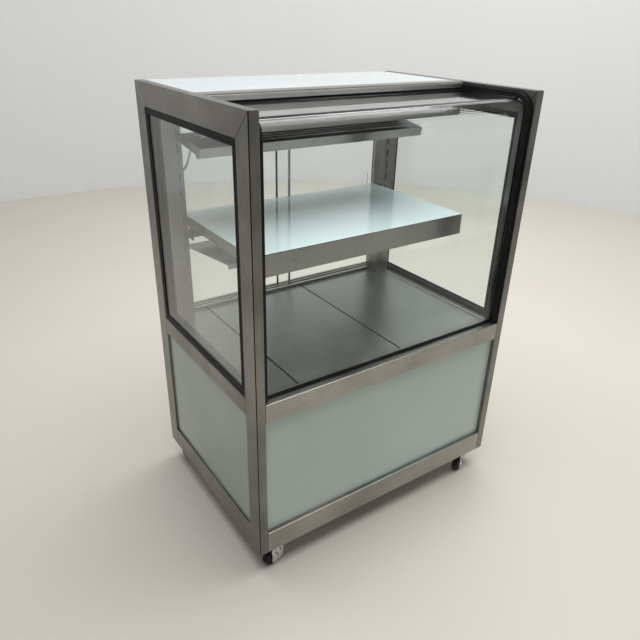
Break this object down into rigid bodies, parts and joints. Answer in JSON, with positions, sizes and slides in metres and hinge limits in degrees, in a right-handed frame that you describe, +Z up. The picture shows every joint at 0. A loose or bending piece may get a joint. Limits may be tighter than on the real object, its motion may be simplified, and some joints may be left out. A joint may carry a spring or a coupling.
{
  "type": "bakery display case",
  "caption": "Glass cake showcase on casters: stainless side frames, bent front glass, inner shelf with lamp, sliding rear doors and a closed base with a cooling unit.",
  "frame": {"origin": "on the floor, under the middle of the case", "axes": "+Z up, the front with the bent glass faces -Y, +X to the right seen from the front"},
  "size_m": [0.7, 0.5, 0.99],
  "materials": {
    "hairline_steel": "hairline",
    "bright_sheet": "fine satin",
    "clear_glass": "clear",
    "white_glass": "white backed gloss",
    "black_seal": "matt black",
    "dark_aluminium": "dark anodised",
    "lamp_white": "opal white",
    "zinc_plate": "bright plated",
    "caster_tread": "black",
    "foam_liner": "pale grey",
    "fin_aluminium": "mill",
    "black_enamel": "satin black"
  },
  "bodies": {
    "case": {"left_front_post": "hairline_steel", "left_rear_post": "hairline_steel", "left_top_rail": "hairline_steel", "left_mid_rail": "hairline_steel", "left_bottom_rail": "hairline_steel", "right_front_post": "hairline_steel", "right_rear_post": "hairline_steel", "right_top_rail": "hairline_steel", "right_mid_rail": "hairline_steel", "right_bottom_rail": "hairline_steel", "front_mid_rail": "hairline_steel", "front_bottom_rail": "hairline_steel", "top_beam": "hairline_steel", "left_jamb": "hairline_steel", "right_jamb": "hairline_steel", "rear_header": "hairline_steel", "rear_sill": "hairline_steel", "rear_louvre_panel": "hairline_steel", "left_shelf_bracket": "hairline_steel", "right_shelf_bracket": "hairline_steel", "shelf_rear_bar": "hairline_steel", "shelf": "bright_sheet", "lamp_hood": "bright_sheet", "shelf_lamp_hood": "bright_sheet", "left_deck_plate": "bright_sheet", "middle_deck_plate": "bright_sheet", "right_deck_plate": "bright_sheet", "left_outer_glass": "clear_glass", "left_inner_glass": "clear_glass", "left_glass_spacer": "black_seal", "left_lower_panel": "white_glass", "right_outer_glass": "clear_glass", "right_inner_glass": "clear_glass", "right_glass_spacer": "black_seal", "right_lower_panel": "white_glass", "front_outer_glass": "clear_glass", "lamp_lead": "lamp_white", "front_glass_gasket": "black_seal", "front_lower_panel": "white_glass", "top_panel": "white_glass", "lamp_tube": "lamp_white", "shelf_lamp_tube": "lamp_white", "base_plate": "zinc_plate", "cooling_tub": "foam_liner", "condenser_coil": "fin_aluminium", "evaporator_coil": "fin_aluminium", "compressor": "black_enamel"},
    "left_door": {"left_door_glass": "clear_glass", "left_door_stile": "dark_aluminium"},
    "right_door": {"right_door_glass": "clear_glass", "right_door_stile": "dark_aluminium"},
    "condenser_fan": {"condenser_fan": "black_enamel"},
    "front_left_fork": {"front_left_caster_fork": "zinc_plate"},
    "front_left_wheel": {"front_left_caster_wheel": "caster_tread"},
    "front_right_fork": {"front_right_caster_fork": "zinc_plate"},
    "front_right_wheel": {"front_right_caster_wheel": "caster_tread"},
    "rear_left_fork": {"rear_left_caster_fork": "zinc_plate"},
    "rear_left_wheel": {"rear_left_caster_wheel": "caster_tread"},
    "rear_right_fork": {"rear_right_caster_fork": "zinc_plate"},
    "rear_right_wheel": {"rear_right_caster_wheel": "caster_tread"}
  },
  "joints": [
    {"name": "left_door_slide", "type": "slide", "parent": "case", "child": "left_door", "axis": [1, 0, 0], "range_m": [0, 0.276]},
    {"name": "right_door_slide", "type": "slide", "parent": "case", "child": "right_door", "axis": [-1, 0, 0], "range_m": [0, 0.276]},
    {"name": "front_left_swivel", "type": "hinge", "parent": "case", "child": "front_left_fork", "pos_m": [-0.297, -0.2245, 0.0547], "axis": [0, 0, 1], "continuous": true},
    {"name": "front_left_roll", "type": "hinge", "parent": "front_left_fork", "child": "front_left_wheel", "pos_m": [-0.31334, -0.22919, 0.02], "axis": [-0.2756, 0.9613, 0], "continuous": true},
    {"name": "front_right_swivel", "type": "hinge", "parent": "case", "child": "front_right_fork", "pos_m": [0.297, -0.2245, 0.0547], "axis": [0, 0, 1], "continuous": true},
    {"name": "front_right_roll", "type": "hinge", "parent": "front_right_fork", "child": "front_right_wheel", "pos_m": [0.28147, -0.23142, 0.02], "axis": [-0.4067, 0.9135, 0], "continuous": true},
    {"name": "rear_left_swivel", "type": "hinge", "parent": "case", "child": "rear_left_fork", "pos_m": [-0.297, 0.2245, 0.0547], "axis": [0, 0, 1], "continuous": true},
    {"name": "rear_left_roll", "type": "hinge", "parent": "rear_left_fork", "child": "rear_left_wheel", "pos_m": [-0.31383, 0.22213, 0.02], "axis": [-0.1392, 0.9903, 0], "continuous": true},
    {"name": "rear_right_swivel", "type": "hinge", "parent": "case", "child": "rear_right_fork", "pos_m": [0.297, 0.2245, 0.0547], "axis": [0, 0, 1], "continuous": true},
    {"name": "rear_right_roll", "type": "hinge", "parent": "rear_right_fork", "child": "rear_right_wheel", "pos_m": [0.28037, 0.22097, 0.02], "axis": [-0.2079, 0.9781, 0], "continuous": true},
    {"name": "condenser_fan_spin", "type": "hinge", "parent": "case", "child": "condenser_fan", "pos_m": [-0.14, 0.152, 0.1573], "axis": [0, 1, 0], "continuous": true}
  ]
}
